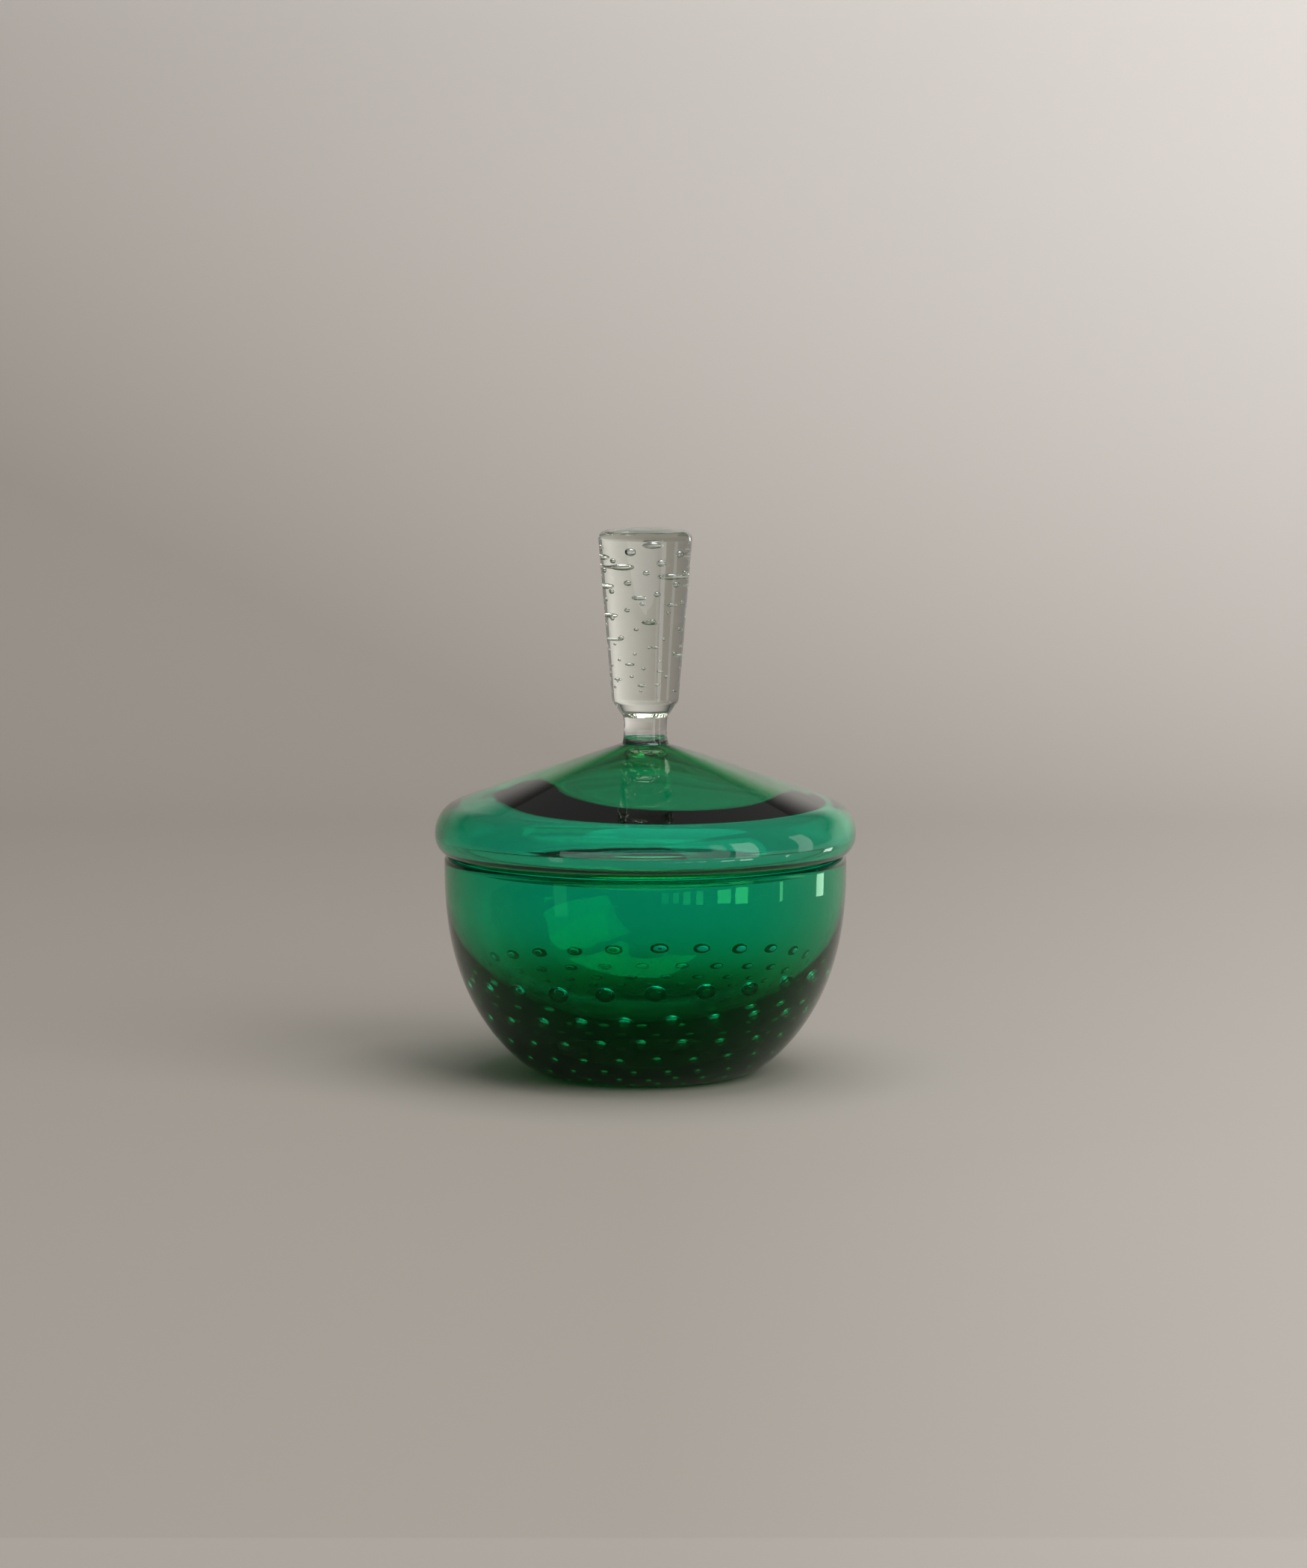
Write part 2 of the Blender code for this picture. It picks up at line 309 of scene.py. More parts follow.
def bubble_tree():
    """Sets air bubbles along a track that is turned about Z: rings of them, or a spiral."""
    tree = new_tree("Trapped Bubbles", [
        ("Rings", "Int"), ("Bubbles per Ring", "Int"), ("First Spacing", "Float"),
        ("Spacing Ratio", "Float"), ("First Width", "Float"), ("Width Ratio", "Float"),
        ("Height Share", "Float"), ("Depth Share", "Float"), ("Phase", "Float"), ("Twist", "Float"),
        ("Lean", "Vector"), ("Drift", "Vector"), ("Size Drift", "Float"), ("Seed", "Int"),
        ("Material", "Material"),
    ])
    given = add_node(tree, "NodeGroupInput").outputs
    count = add_node(tree, "ShaderNodeMath", {
        0: given["Rings"], 1: given["Bubbles per Ring"],
    }, operation="MULTIPLY")
    points = add_node(tree, "GeometryNodePoints", {"Count": count})
    index = add_node(tree, "GeometryNodeInputIndex")
    share = add_node(tree, "ShaderNodeMath", {
        0: index, 1: given["Bubbles per Ring"],
    }, operation="DIVIDE")
    ring = add_node(tree, "ShaderNodeMath", {0: share}, operation="FLOOR")
    place = add_node(tree, "ShaderNodeMath", {0: share}, operation="FRACT")

    # Distance down the track: a spacing that shrinks by one ratio from ring to ring.
    power = add_node(tree, "ShaderNodeMath", {0: given["Spacing Ratio"], 1: ring}, operation="POWER")
    fallen = add_node(tree, "ShaderNodeMath", {0: 1.0, 1: power}, operation="SUBTRACT")
    rest = add_node(tree, "ShaderNodeMath", {0: 1.0, 1: given["Spacing Ratio"]}, operation="SUBTRACT")
    sum_ratio = add_node(tree, "ShaderNodeMath", {0: fallen, 1: rest}, operation="DIVIDE")
    length = add_node(tree, "ShaderNodeMath", {
        0: sum_ratio, 1: given["First Spacing"],
    }, operation="MULTIPLY")
    track = add_node(tree, "GeometryNodeMeshToCurve", {"Mesh": given["Geometry"]})
    sample = add_node(tree, "GeometryNodeSampleCurve", {
        "Curves": track, "Length": length,
    }, mode="LENGTH")

    # A little drift in place and size, as in glass gathered by hand.
    chance = add_node(tree, "FunctionNodeRandomValue", {
        0: (-1.0, -1.0, -1.0), 1: (1.0, 1.0, 1.0), "ID": index, "Seed": given["Seed"],
    }, data_type="FLOAT_VECTOR")
    drift = add_node(tree, "ShaderNodeVectorMath", {0: chance, 1: given["Drift"]}, operation="MULTIPLY")
    drifted = add_node(tree, "ShaderNodeVectorMath", {
        0: sample.outputs["Position"], 1: drift,
    }, operation="ADD")
    apart = add_node(tree, "ShaderNodeSeparateXYZ", {0: drifted})
    flat = add_node(tree, "ShaderNodeCombineXYZ", {0: apart, 1: 0.0, 2: apart.outputs[2]})
    sideways = add_node(tree, "ShaderNodeMath", {0: apart.outputs[1], 1: apart}, operation="DIVIDE")

    around = add_node(tree, "ShaderNodeMath", {0: place, 1: 2.0 * math.pi}, operation="MULTIPLY")
    twisted = add_node(tree, "ShaderNodeMath", {
        0: ring, 1: given["Twist"], 2: around,
    }, operation="MULTIPLY_ADD")
    phased = add_node(tree, "ShaderNodeMath", {0: twisted, 1: given["Phase"]}, operation="ADD")
    angle = add_node(tree, "ShaderNodeMath", {0: phased, 1: sideways}, operation="ADD")
    turned = add_node(tree, "ShaderNodeVectorRotate", {
        "Vector": flat, "Angle": angle,
    }, rotation_type="Z_AXIS")

    # The rings lean a little to one side, so that they rise or fall across the bowl.
    lean = add_node(tree, "ShaderNodeVectorMath", {
        0: turned, 1: given["Lean"],
    }, operation="DOT_PRODUCT")
    rise = add_node(tree, "ShaderNodeCombineXYZ", {0: 0.0, 1: 0.0, 2: lean.outputs["Value"]})
    placed = add_node(tree, "GeometryNodeSetPosition", {
        "Geometry": points, "Position": turned, "Offset": rise,
    })

    # Size: a width that shrinks by one ratio from ring to ring, with a little chance in it.
    width_power = add_node(tree, "ShaderNodeMath", {
        0: given["Width Ratio"], 1: ring,
    }, operation="POWER")
    width = add_node(tree, "ShaderNodeMath", {
        0: width_power, 1: given["First Width"],
    }, operation="MULTIPLY")
    luck = add_node(tree, "FunctionNodeRandomValue", {
        2: -1.0, 3: 1.0, "ID": index, "Seed": given["Seed"],
    }, data_type="FLOAT")
    size_change = add_node(tree, "ShaderNodeMath", {
        0: luck.outputs[1], 1: given["Size Drift"], 2: 1.0,
    }, operation="MULTIPLY_ADD")
    final_width = add_node(tree, "ShaderNodeMath", {0: width, 1: size_change}, operation="MULTIPLY")
    final_height = add_node(tree, "ShaderNodeMath", {
        0: final_width, 1: given["Height Share"],
    }, operation="MULTIPLY")
    final_depth = add_node(tree, "ShaderNodeMath", {
        0: final_width, 1: given["Depth Share"],
    }, operation="MULTIPLY")
    scale = add_node(tree, "ShaderNodeCombineXYZ", {0: final_depth, 1: final_width, 2: final_height})

    # Each bubble lies flat along the wall: its depth points out of the glass.
    run = add_node(tree, "ShaderNodeSeparateXYZ", {0: sample.outputs["Tangent"]})
    back_x = add_node(tree, "ShaderNodeMath", {0: run, 1: -1.0}, operation="MULTIPLY")
    back_z = add_node(tree, "ShaderNodeMath", {0: run.outputs[2], 1: -1.0}, operation="MULTIPLY")
    slope = add_node(tree, "ShaderNodeMath", {0: back_x, 1: back_z}, operation="ARCTAN2")
    facing = add_node(tree, "ShaderNodeCombineXYZ", {0: 0.0, 1: slope, 2: angle})
    rotation = add_node(tree, "FunctionNodeEulerToRotation", {0: facing})

    # Air in glass is a shell whose faces point into the air.
    bubble = add_node(tree, "GeometryNodeMeshIcoSphere", {"Radius": 0.5, "Subdivisions": 2})
    hollow = add_node(tree, "GeometryNodeFlipFaces", {"Mesh": bubble.outputs["Mesh"]})
    smooth = add_node(tree, "GeometryNodeSetShadeSmooth", {"Geometry": hollow})
    copies = add_node(tree, "GeometryNodeInstanceOnPoints", {
        "Points": placed, "Instance": smooth, "Rotation": rotation, "Scale": scale,
    })
    real = add_node(tree, "GeometryNodeRealizeInstances", {"Geometry": copies})
    painted = add_node(tree, "GeometryNodeSetMaterial", {
        "Geometry": real, "Material": given["Material"],
    })
    add_node(tree, "NodeGroupOutput", {0: painted})
    return tree


# Outlines: lists of (r, z), and for each point how much of the unevenness and the swell it takes


def arc(centre, radius, start, end):
    """Points (r, z) on an arc about centre, from angle start to angle end."""
    count = max(3, math.ceil(abs(end - start) / ARC_STEP))
    angles = [start + (end - start) * i / count for i in range(count + 1)]
    return [(centre[0] + radius * math.cos(a), centre[1] + radius * math.sin(a)) for a in angles]


def smoothstep(u):
    """0 below 0, 1 above 1, and smooth in between."""
    u = min(1.0, max(0.0, u))
    return u * u * (3.0 - 2.0 * u)


def fillet(before, corner, after, radius):
    """Points (r, z) of an arc that rounds the corner between two straight runs."""
    run_in = Vector(before) - Vector(corner)
    run_out = Vector(after) - Vector(corner)
    run_in.normalize()
    run_out.normalize()
    half = 0.5 * run_in.angle(run_out)
    centre = Vector(corner) + (run_in + run_out).normalized() * radius / math.sin(half)
    first = Vector(corner) + run_in * radius / math.tan(half) - centre
    last = Vector(corner) + run_out * radius / math.tan(half) - centre
    start = math.atan2(first.y, first.x)
    turn = math.remainder(math.atan2(last.y, last.x) - start, 2.0 * math.pi)
    return arc(centre, radius, start, start + turn)


def bowl_outside(sizes, count=BOWL_COUNT):
    """The bowl's outside from just under the rim down to the foot's middle."""
    spring = BOWL_TOP.z - 0.5 * sizes.rim_wall
    base_share = 1.0 - (sizes.base_radius / BOWL_TOP.x) ** 2
    depth = spring / base_share ** (1.0 / sizes.outer_fullness)
    base_angle = math.acos(sizes.base_radius / BOWL_TOP.x)
    points = []
    for i in range(count + 1):
        angle = base_angle * i / count
        drop = depth * math.sin(angle) ** (2.0 / sizes.outer_fullness)
        points.append((BOWL_TOP.x * math.cos(angle), spring - drop))
    corner = (sizes.base_radius, 0.0)
    points = [point for point in points if math.dist(point, corner) > FOOT_REACH * sizes.foot_rounding]
    points += fillet(points[-1], corner, (0.0, 0.0), sizes.foot_rounding)
    points.append((0.0, 0.0))
    return [(r, max(0.0, z)) for r, z in points]


def bowl_inside(sizes):
    """The bowl's inside from the middle of its floor up to just under the rim."""
    spring = BOWL_TOP.z - 0.5 * sizes.rim_wall
    bore = BOWL_TOP.x - sizes.rim_wall
    points = [(0.0, sizes.base_wall)]
    for i in range(1, BOWL_COUNT):
        angle = 0.5 * math.pi * (1.0 - i / BOWL_COUNT)
        drop = (spring - sizes.base_wall) * math.sin(angle) ** (2.0 / sizes.inner_fullness)
        points.append((bore * math.cos(angle), spring - drop))
    return points


def bowl_outline(sizes):
    """Inside, rounded rim and outside, in one run."""
    half_wall = 0.5 * sizes.rim_wall
    inside = bowl_inside(sizes)
    rim = arc((BOWL_TOP.x - half_wall, BOWL_TOP.z - half_wall), half_wall, math.pi, 0.0)
    outside = bowl_outside(sizes)[1:]
    start = RIPPLE_START * sizes.rim_wall
    weights = [smoothstep((BOWL_TOP.z - z) / start - 1.0) for _, z in inside]
    return inside + rim + outside, weights + [0.0] * (len(rim) + len(outside))


def lid_outline(sizes, edge):
    """Outside from the dome under the finial down to the rolled edge, then up the inside."""
    radius = LID_TOP.x
    seat_r = edge.foot_radius
    seat_z = LID_TOP.z
    half_rim = 0.5 * sizes.rim_wall
    roll_r = radius - sizes.roll_radius
    rim_offset = BOWL_TOP.x - half_rim - roll_r
    seat_distance = half_rim + sizes.seat_gap + sizes.roll_radius
    roll = (roll_r, BOWL_TOP.z - half_rim + math.sqrt(seat_distance ** 2 - rim_offset ** 2))
    shoulder = (radius - sizes.shoulder_radius, roll[1] + sizes.band_height)
    meet_r = shoulder[0] + sizes.shoulder_radius * math.sin(sizes.low_slope)
    crown_radius = (meet_r - seat_r) / (math.sin(sizes.low_slope) - math.sin(sizes.high_slope))
    crown = (
        meet_r - crown_radius * math.sin(sizes.low_slope),
        shoulder[1] - (crown_radius - sizes.shoulder_radius) * math.cos(sizes.low_slope),
    )
    low = 0.5 * math.pi - sizes.low_slope
    high = 0.5 * math.pi - sizes.high_slope

    def crown_height(r):
        """Height of the crown's outside at radius r."""
        outer = max(r, seat_r)
        height = crown[1] + math.sqrt(crown_radius ** 2 - (outer - crown[0]) ** 2)
        return height + (outer - r) * math.tan(sizes.high_slope)

    under_z = roll[1] - sizes.roll_radius
    flange_outer = BOWL_TOP.x - sizes.rim_wall - sizes.flange_clearance
    flange_inner = flange_outer - sizes.edge_wall
    half_wall = 0.5 * sizes.edge_wall
    inner_fillet = sizes.flange_fillet + sizes.edge_wall

    dome = [(0.0, seat_z + sizes.dome_height)]
    dome_r = seat_r - edge.seam_wall
    for i in range(1, DOME_COUNT + 1):
        angle = 0.5 * math.pi * i / DOME_COUNT
        dome.append((dome_r * math.sin(angle), seat_z + sizes.dome_height * math.cos(angle)))
    outside = []
    for i in range(CROWN_OUTER_COUNT + 1):
        angle = high + (low - high) * i / CROWN_OUTER_COUNT
        r = crown[0] + crown_radius * math.cos(angle)
        outside.append((r, crown[1] + crown_radius * math.sin(angle)))
    outside += arc(shoulder, sizes.shoulder_radius, low, 0.0)[1:]
    outside += arc(roll, sizes.roll_radius, 0.0, -0.5 * math.pi)
    flange_corner = (flange_outer + sizes.flange_fillet, under_z - sizes.flange_fillet)
    outside += arc(flange_corner, sizes.flange_fillet, 0.5 * math.pi, math.pi)
    outside += arc((flange_outer - half_wall, LID_LOW.z + half_wall), half_wall, 0.0, -math.pi)
    inner_corner = (flange_inner + inner_fillet, under_z + sizes.edge_wall - inner_fillet)
    outside += arc(inner_corner, inner_fillet, math.pi, 0.5 * math.pi)
    outside += arc(roll, sizes.roll_radius - sizes.edge_wall, -0.5 * math.pi, 0.0)

    # Inside, the shoulder has the same radius as outside, moved in and down by the wall.
    drop = sizes.edge_wall * (1.0 - math.cos(low)) / math.sin(low)
    start = math.asin((drop - sizes.band_height) / sizes.shoulder_radius) + SHOULDER_START
    outside += arc((shoulder[0] - sizes.edge_wall, shoulder[1] - drop), sizes.shoulder_radius, start, low)

    # The crown's inside is softened into a hollow under the finial, and takes on the swell inwards.
    inner_start = outside[-1][0]
    inside = []
    weights = []
    for i in range(1, CROWN_INNER_COUNT + 1):
        r = inner_start * (1.0 - i / CROWN_INNER_COUNT)
        share = 1.0 - r / inner_start
        softened = math.hypot(r, sizes.crown_rounding * smoothstep(share / CROWN_SOFT_SHARE))
        inside.append((r, crown_height(softened) - sizes.edge_wall / math.cos(sizes.low_slope)))
        weights.append(smoothstep(share / SWELL_START_SHARE))
    before = dome + outside
    return before + inside, [0.0] * len(before) + weights


def finial_outside(sizes):
    """Top face, tapering body, shoulder and neck, down to the foot's edge."""
    top_z = FINIAL_TOP.z - sizes.crown_rise
    low_z = top_z - sizes.body_height
    neck_z = low_z - sizes.shoulder_height
    foot_z = LID_TOP.z - sizes.fusion
    points = []
    for i in range(TOP_COUNT + 1):
        r = (sizes.top_radius - 2.0 * sizes.edge_radius) * i / TOP_COUNT
        points.append((r, top_z + sizes.crown_rise * (1.0 - (r / sizes.top_radius) ** 2)))
    top_edge = (sizes.top_radius, top_z)
    shoulder = (sizes.low_radius, low_z)
    collar = (sizes.collar_radius, neck_z)
    points += fillet((0.0, top_z), top_edge, shoulder, sizes.edge_radius)
    points += fillet(top_edge, shoulder, collar, sizes.shoulder_rounding)
    points += fillet(shoulder, collar, (sizes.waist_radius, foot_z), sizes.collar_rounding)
    for i in range(NECK_FIRST, NECK_COUNT + 1):
        share = i / NECK_COUNT
        straight = sizes.collar_radius + (sizes.foot_radius - sizes.collar_radius) * share
        r = straight - (straight - sizes.waist_radius) * math.sin(math.pi * share)
        points.append((r, neck_z - (neck_z - foot_z) * share))
    return points


def finial_outline(sizes, dome_height):
    """The outside and then the cup that is fused over the lid's dome."""
    outside = finial_outside(sizes)
    cup_r = sizes.foot_radius - sizes.seam_wall - sizes.fusion
    cup = []
    for i in range(DOME_COUNT + 1):
        angle = 0.5 * math.pi * (1.0 - i / DOME_COUNT)
        cup.append((cup_r * math.sin(angle), LID_TOP.z - sizes.fusion + dome_height * math.cos(angle)))
    return outside + cup, [0.0] * (len(outside) + len(cup))


# Glass


# Height of the faint waves that fire polishing leaves: they bend a reflection's edge a little.
WAVE_HEIGHT = 0.00002

# Tints of the mirror light off each glass. Real glass mirrors white, and the green tints keep pale
# reflections from greying the deep colour.
EMERALD_MIRROR = (0.04, 1.0, 0.25)
SEA_GREEN_MIRROR = (0.9, 1.0, 0.95)
CLEAR_MIRROR = (1.0, 1.0, 1.0)


def glass(name, absorbed, wave_size, mirror):
    """Blown, fire polished glass, coloured by the red, green and blue lost per metre.

    It is perfectly smooth, so edges and bubbles stay crisp, and the colour deepens with the thickness:
    bright where a wall is thin and nearly black where light runs along it.
    """
    material, tree = new_material(name)
    place = add_node(tree, "ShaderNodeTexCoord")
    waves = add_node(tree, "ShaderNodeTexNoise", {
        "Vector": place.outputs["Object"], "Scale": 1.0 / wave_size, "Detail": 2.0,
    })
    bump = add_node(tree, "ShaderNodeBump", {"Height": waves, "Distance": WAVE_HEIGHT, "Strength": 1.0})
    surface = add_node(tree, "ShaderNodeBsdfPrincipled", {
        "Base Color": (1.0, 1.0, 1.0, 1.0), "Roughness": 0.0, "IOR": 1.5, "Transmission Weight": 1.0,
        "Specular Tint": (*mirror, 1.0), "Normal": bump,
    })
    strongest = max(absorbed)
    kept = [1.0 - value / strongest for value in absorbed]
    body = add_node(tree, "ShaderNodeVolumeAbsorption", {"Color": (*kept, 1.0), "Density": strongest})
    add_node(tree, "ShaderNodeOutputMaterial", {"Surface": surface, "Volume": body})
    return material


# Stage


def paper_material(sizes):
    """Matt paper with painted light, painted paler towards the right and up the wall as if the window
    stood there.

    It hardly shines, so it shows only the soft shadow and the green light under the jar. Painted shade
    makes it darker high on the wall, which gives the crown's reflection its edge, and far in front
    under the lamp.
    """
    material = bpy.data.materials.new("backdrop paper with painted light and shade")
    material.use_nodes = True
    tree = material.node_tree
    shader = tree.nodes["Principled BSDF"]
    place = add_node(tree, "ShaderNodeTexCoord")
    # Painted light: the paper's colour runs paler towards the right and up the wall.
    slope = add_node(tree, "ShaderNodeVectorMath", {
        0: place.outputs["Object"], 1: PAPER_PAINTED_LIGHT,
    }, operation="DOT_PRODUCT")
    colour = add_node(tree, "ShaderNodeMix", {
        0: slope.outputs["Value"], 6: (*sizes.paper_low, 1.0), 7: (*sizes.paper_painted_light, 1.0),
    }, data_type="RGBA")
    # Painted shade: the colour darkens high on the wall and far in front.
    apart = add_node(tree, "ShaderNodeSeparateXYZ", {0: place.outputs["Object"]})
    painted_wall_shade = add_node(tree, "ShaderNodeMapRange", {
        "Value": apart.outputs[2], "From Min": sizes.painted_shade_start, "From Max": sizes.wall_height,
        "To Min": 1.0, "To Max": PAPER_PAINTED_SHADE_HIGH,
    }, interpolation_type="SMOOTHSTEP")
    painted_floor_shade = add_node(tree, "ShaderNodeMapRange", {
        "Value": apart.outputs[1], "From Min": -sizes.painted_floor_shade_start, "From Max": -sizes.painted_floor_shade_end,
        "To Min": 1.0, "To Max": PAPER_PAINTED_SHADE_NEAR,
    }, interpolation_type="SMOOTHSTEP")
    painted_shade = add_node(tree, "ShaderNodeMath", {0: painted_wall_shade, 1: painted_floor_shade}, operation="MULTIPLY")
    shaded = add_node(tree, "ShaderNodeVectorMath", {
        0: colour.outputs[2], "Scale": painted_shade,
    }, operation="SCALE")
    tree.links.new(shaded.outputs[0], shader.inputs["Base Color"])
    shader.inputs["Roughness"].default_value = 0.9
    shader.inputs["Specular IOR Level"].default_value = 0.1
    return material


def painted_highlight_pane(name, centre, width, height, strength):
    """A glowing pane, a painted highlight, that faces the jar's axis, shows only in the glass and lights
    nothing.
    """
    material, tree = new_material(name)
    glow = add_node(tree, "ShaderNodeEmission", {"Color": (1.0, 1.0, 1.0, 1.0), "Strength": strength})
    add_node(tree, "ShaderNodeOutputMaterial", {"Surface": glow})
    target = Vector((0.0, 0.0, centre[2]))
    turn = (target - Vector(centre)).to_track_quat("Z", "Y")
    corners = [(-0.5, -0.5), (0.5, -0.5), (0.5, 0.5), (-0.5, 0.5)]
    points = [Vector(centre) + turn @ Vector((x * width, y * height, 0.0)) for x, y in corners]
    mesh = bpy.data.meshes.new(name)
    mesh.from_pydata(points, [], [(0, 1, 2, 3)])
    mesh.materials.append(material)
    pane = new_object(name, mesh)
    pane.visible_camera = False
    pane.visible_diffuse = False
    pane.visible_transmission = False
    pane.visible_shadow = False


def beside(azimuth, height):
    """A place round the jar, at an azimuth in degrees from the front towards the right."""
    turn = math.radians(azimuth)
    return (PANE_DISTANCE * math.sin(turn), -PANE_DISTANCE * math.cos(turn), height)


def soft_lamp(name, location, target, side, power, colour):
    """A square soft lamp turned towards a point, with no mirror image of itself in the glass."""
    data = bpy.data.lights.new(name, "AREA")
    data.shape = "RECTANGLE"
    data.size = side
    data.size_y = side
    data.energy = power
    data.color = colour
    lamp = new_object(name, data)
    lamp.location = location
    lamp.rotation_euler = (Vector(target) - Vector(location)).to_track_quat("-Z", "Y").to_euler()
    lamp.visible_glossy = False


def paper_sweep(sizes):
    """A flat table, a wide curve and a wall, in one sheet of paper."""
    line = [(PAPER_FRONT, -PAPER_DROP), (PAPER_WALL - PAPER_BEND, -PAPER_DROP)]
    for i in range(1, PAPER_BEND_STEPS + 1):
        angle = 0.5 * math.pi * i / PAPER_BEND_STEPS
        y = PAPER_WALL - PAPER_BEND + PAPER_BEND * math.sin(angle)
        line.append((y, PAPER_BEND - PAPER_BEND * math.cos(angle) - PAPER_DROP))
    line.append((PAPER_WALL, sizes.wall_height))
    points = [(side * PAPER_HALF_WIDTH, y, z) for side in (-1.0, 1.0) for y, z in line]
    count = len(line)
    faces = [(i, i + count, i + count + 1, i + 1) for i in range(count - 1)]
    mesh = bpy.data.meshes.new("paper_sweep")
    mesh.from_pydata(points, [], faces)
    mesh.materials.append(paper_material(sizes))
    mesh.shade_smooth()
    sweep = new_object("paper_sweep", mesh)


def room():
    """A dim room, a little lighter on the window's side."""
    world = bpy.data.worlds.new("room")
    world.use_nodes = True
    tree = world.node_tree
    sky = tree.nodes["Background"]
    place = add_node(tree, "ShaderNodeTexCoord")
    toward = add_node(tree, "ShaderNodeVectorMath", {
        0: place.outputs["Generated"], 1: ROOM_LIGHT_FROM,
    }, operation="DOT_PRODUCT")
    strength = add_node(tree, "ShaderNodeMapRange", {
        "Value": toward.outputs["Value"], "From Min": -ROOM_LIGHT_REACH, "From Max": ROOM_LIGHT_REACH,
        "To Min": ROOM_DARK, "To Max": ROOM_LIGHT,
    }, interpolation_type="SMOOTHSTEP")
    sky.inputs["Color"].default_value = ROOM_COLOUR
    tree.links.new(strength.outputs[0], sky.inputs["Strength"])
    return world


def place_camera(sizes):
    """A camera that takes in view_height at the jar's axis."""
    data = bpy.data.cameras.new("camera")
    data.sensor_fit = "VERTICAL"
    place = Vector((sizes.side_step, -sizes.view_distance, sizes.camera_height))
    aim = Vector((sizes.side_step, 0.0, sizes.aim_height))
    distance = (aim - place).length
    data.lens = data.sensor_height * distance / sizes.view_height
    data.clip_end = CAMERA_REACH
    camera = new_object("camera", data)
    camera.location = place
    camera.rotation_euler = (aim - place).to_track_quat("-Z", "Y").to_euler()
    bpy.context.scene.camera = camera


# Sizes and colours


def metres(name, default, description):
    """A size in metres."""
    return bpy.props.FloatProperty(
        name=name, default=default, min=0.0, unit="LENGTH", precision=5, description=description)


def ratio(name, default, description):
    """A plain number, such as a share or an exponent."""
    return bpy.props.FloatProperty(name=name, default=default, precision=4, description=description)


def whole(name, default, description):
    """A whole number from 1 up."""
    return bpy.props.IntProperty(name=name, default=default, min=1, description=description)


def degrees(name, default, description):
    """An angle, given in degrees."""
    return bpy.props.FloatProperty(
        name=name, default=math.radians(default), subtype="ANGLE", description=description)


def triple(name, default, description):
    """Three numbers that belong together."""
    return bpy.props.FloatVectorProperty(name=name, default=default, precision=5, description=description)


def absorption(default):
    """What makes a glass its colour."""
    return bpy.props.FloatVectorProperty(
        name="Absorption", default=default, description="Red, green and blue lost per metre of glass")


def paper_colour(name, code, description):
    """A colour of the paper, given as sRGB hex."""
    return bpy.props.FloatVectorProperty(
        name=name, default=linear(code), subtype="COLOR", description=description)


class BowlSizes(bpy.types.PropertyGroup):
    """The emerald bowl and its trapped bubbles."""

    rim_wall: metres("Rim Wall", 0.0034, "Thickness of the wall at the rim")
    base_wall: metres("Base Wall", 0.0084, "Thickness of the glass under the middle of the floor")
    base_radius: metres("Base Radius", 0.0350, "Radius at which the outside curve would meet the table")
    foot_rounding: metres("Foot Rounding", 0.0180, "Radius that rounds the outside into the flat foot")
    outer_fullness: ratio("Outer Fullness", 2.46, "Exponent of the outside curve")
    inner_fullness: ratio("Inner Fullness", 2.85, "Exponent of the inside curve")
    ripple: metres("Ripple", 0.0002, "Unevenness of the inside")
    rings: whole("Bubble Rings", 7, "Rings of bubbles, top to bottom")
    per_ring: whole("Bubbles per Ring", 23, "Bubbles in each ring")
    ring_height: metres("Top Ring Height", 0.0312, "Height of the highest ring of bubbles")
    ring_depth: metres("Ring Depth", 0.0032, "Depth of the bubbles under the outside")
    spacing: metres("First Spacing", 0.0106, "Distance from the first ring to the second")
    spacing_ratio: ratio("Spacing Ratio", 0.82, "How the spacing shrinks from ring to ring")
    bubble_width: metres("Bubble Width", 0.0067, "Width of the bubbles of the highest ring")
    width_ratio: ratio("Width Ratio", 0.86, "How the bubbles shrink from ring to ring")
    height_share: ratio("Bubble Height Share", 0.8, "Height of a bubble as a share of its width")
    depth_share: ratio("Bubble Depth Share", 0.6, "Depth of a bubble as a share of its width")
    phase: degrees("Phase", -86.9, "Where the first bubble of the highest ring sits")
    twist: degrees("Twist", -9.85, "How far each ring is turned past the one above")
    lean: triple("Lean", (0.03, -0.065, 0.0), "Rise of the rings per metre to the right and back")
    drift: triple("Drift", (0.0003, 0.0006, 0.0004), "Chance shift in depth, round and in height")
    size_drift: ratio("Size Drift", 0.08, "Chance change of a bubble's size")
    bubble_seed: whole("Bubble Seed", 7, "Seed of the chance shifts")
    wave_size: metres("Wave Size", 0.012, "Width of the faint waves in the polished surface")
    absorbed: absorption((900.0, 80.0, 170.0))


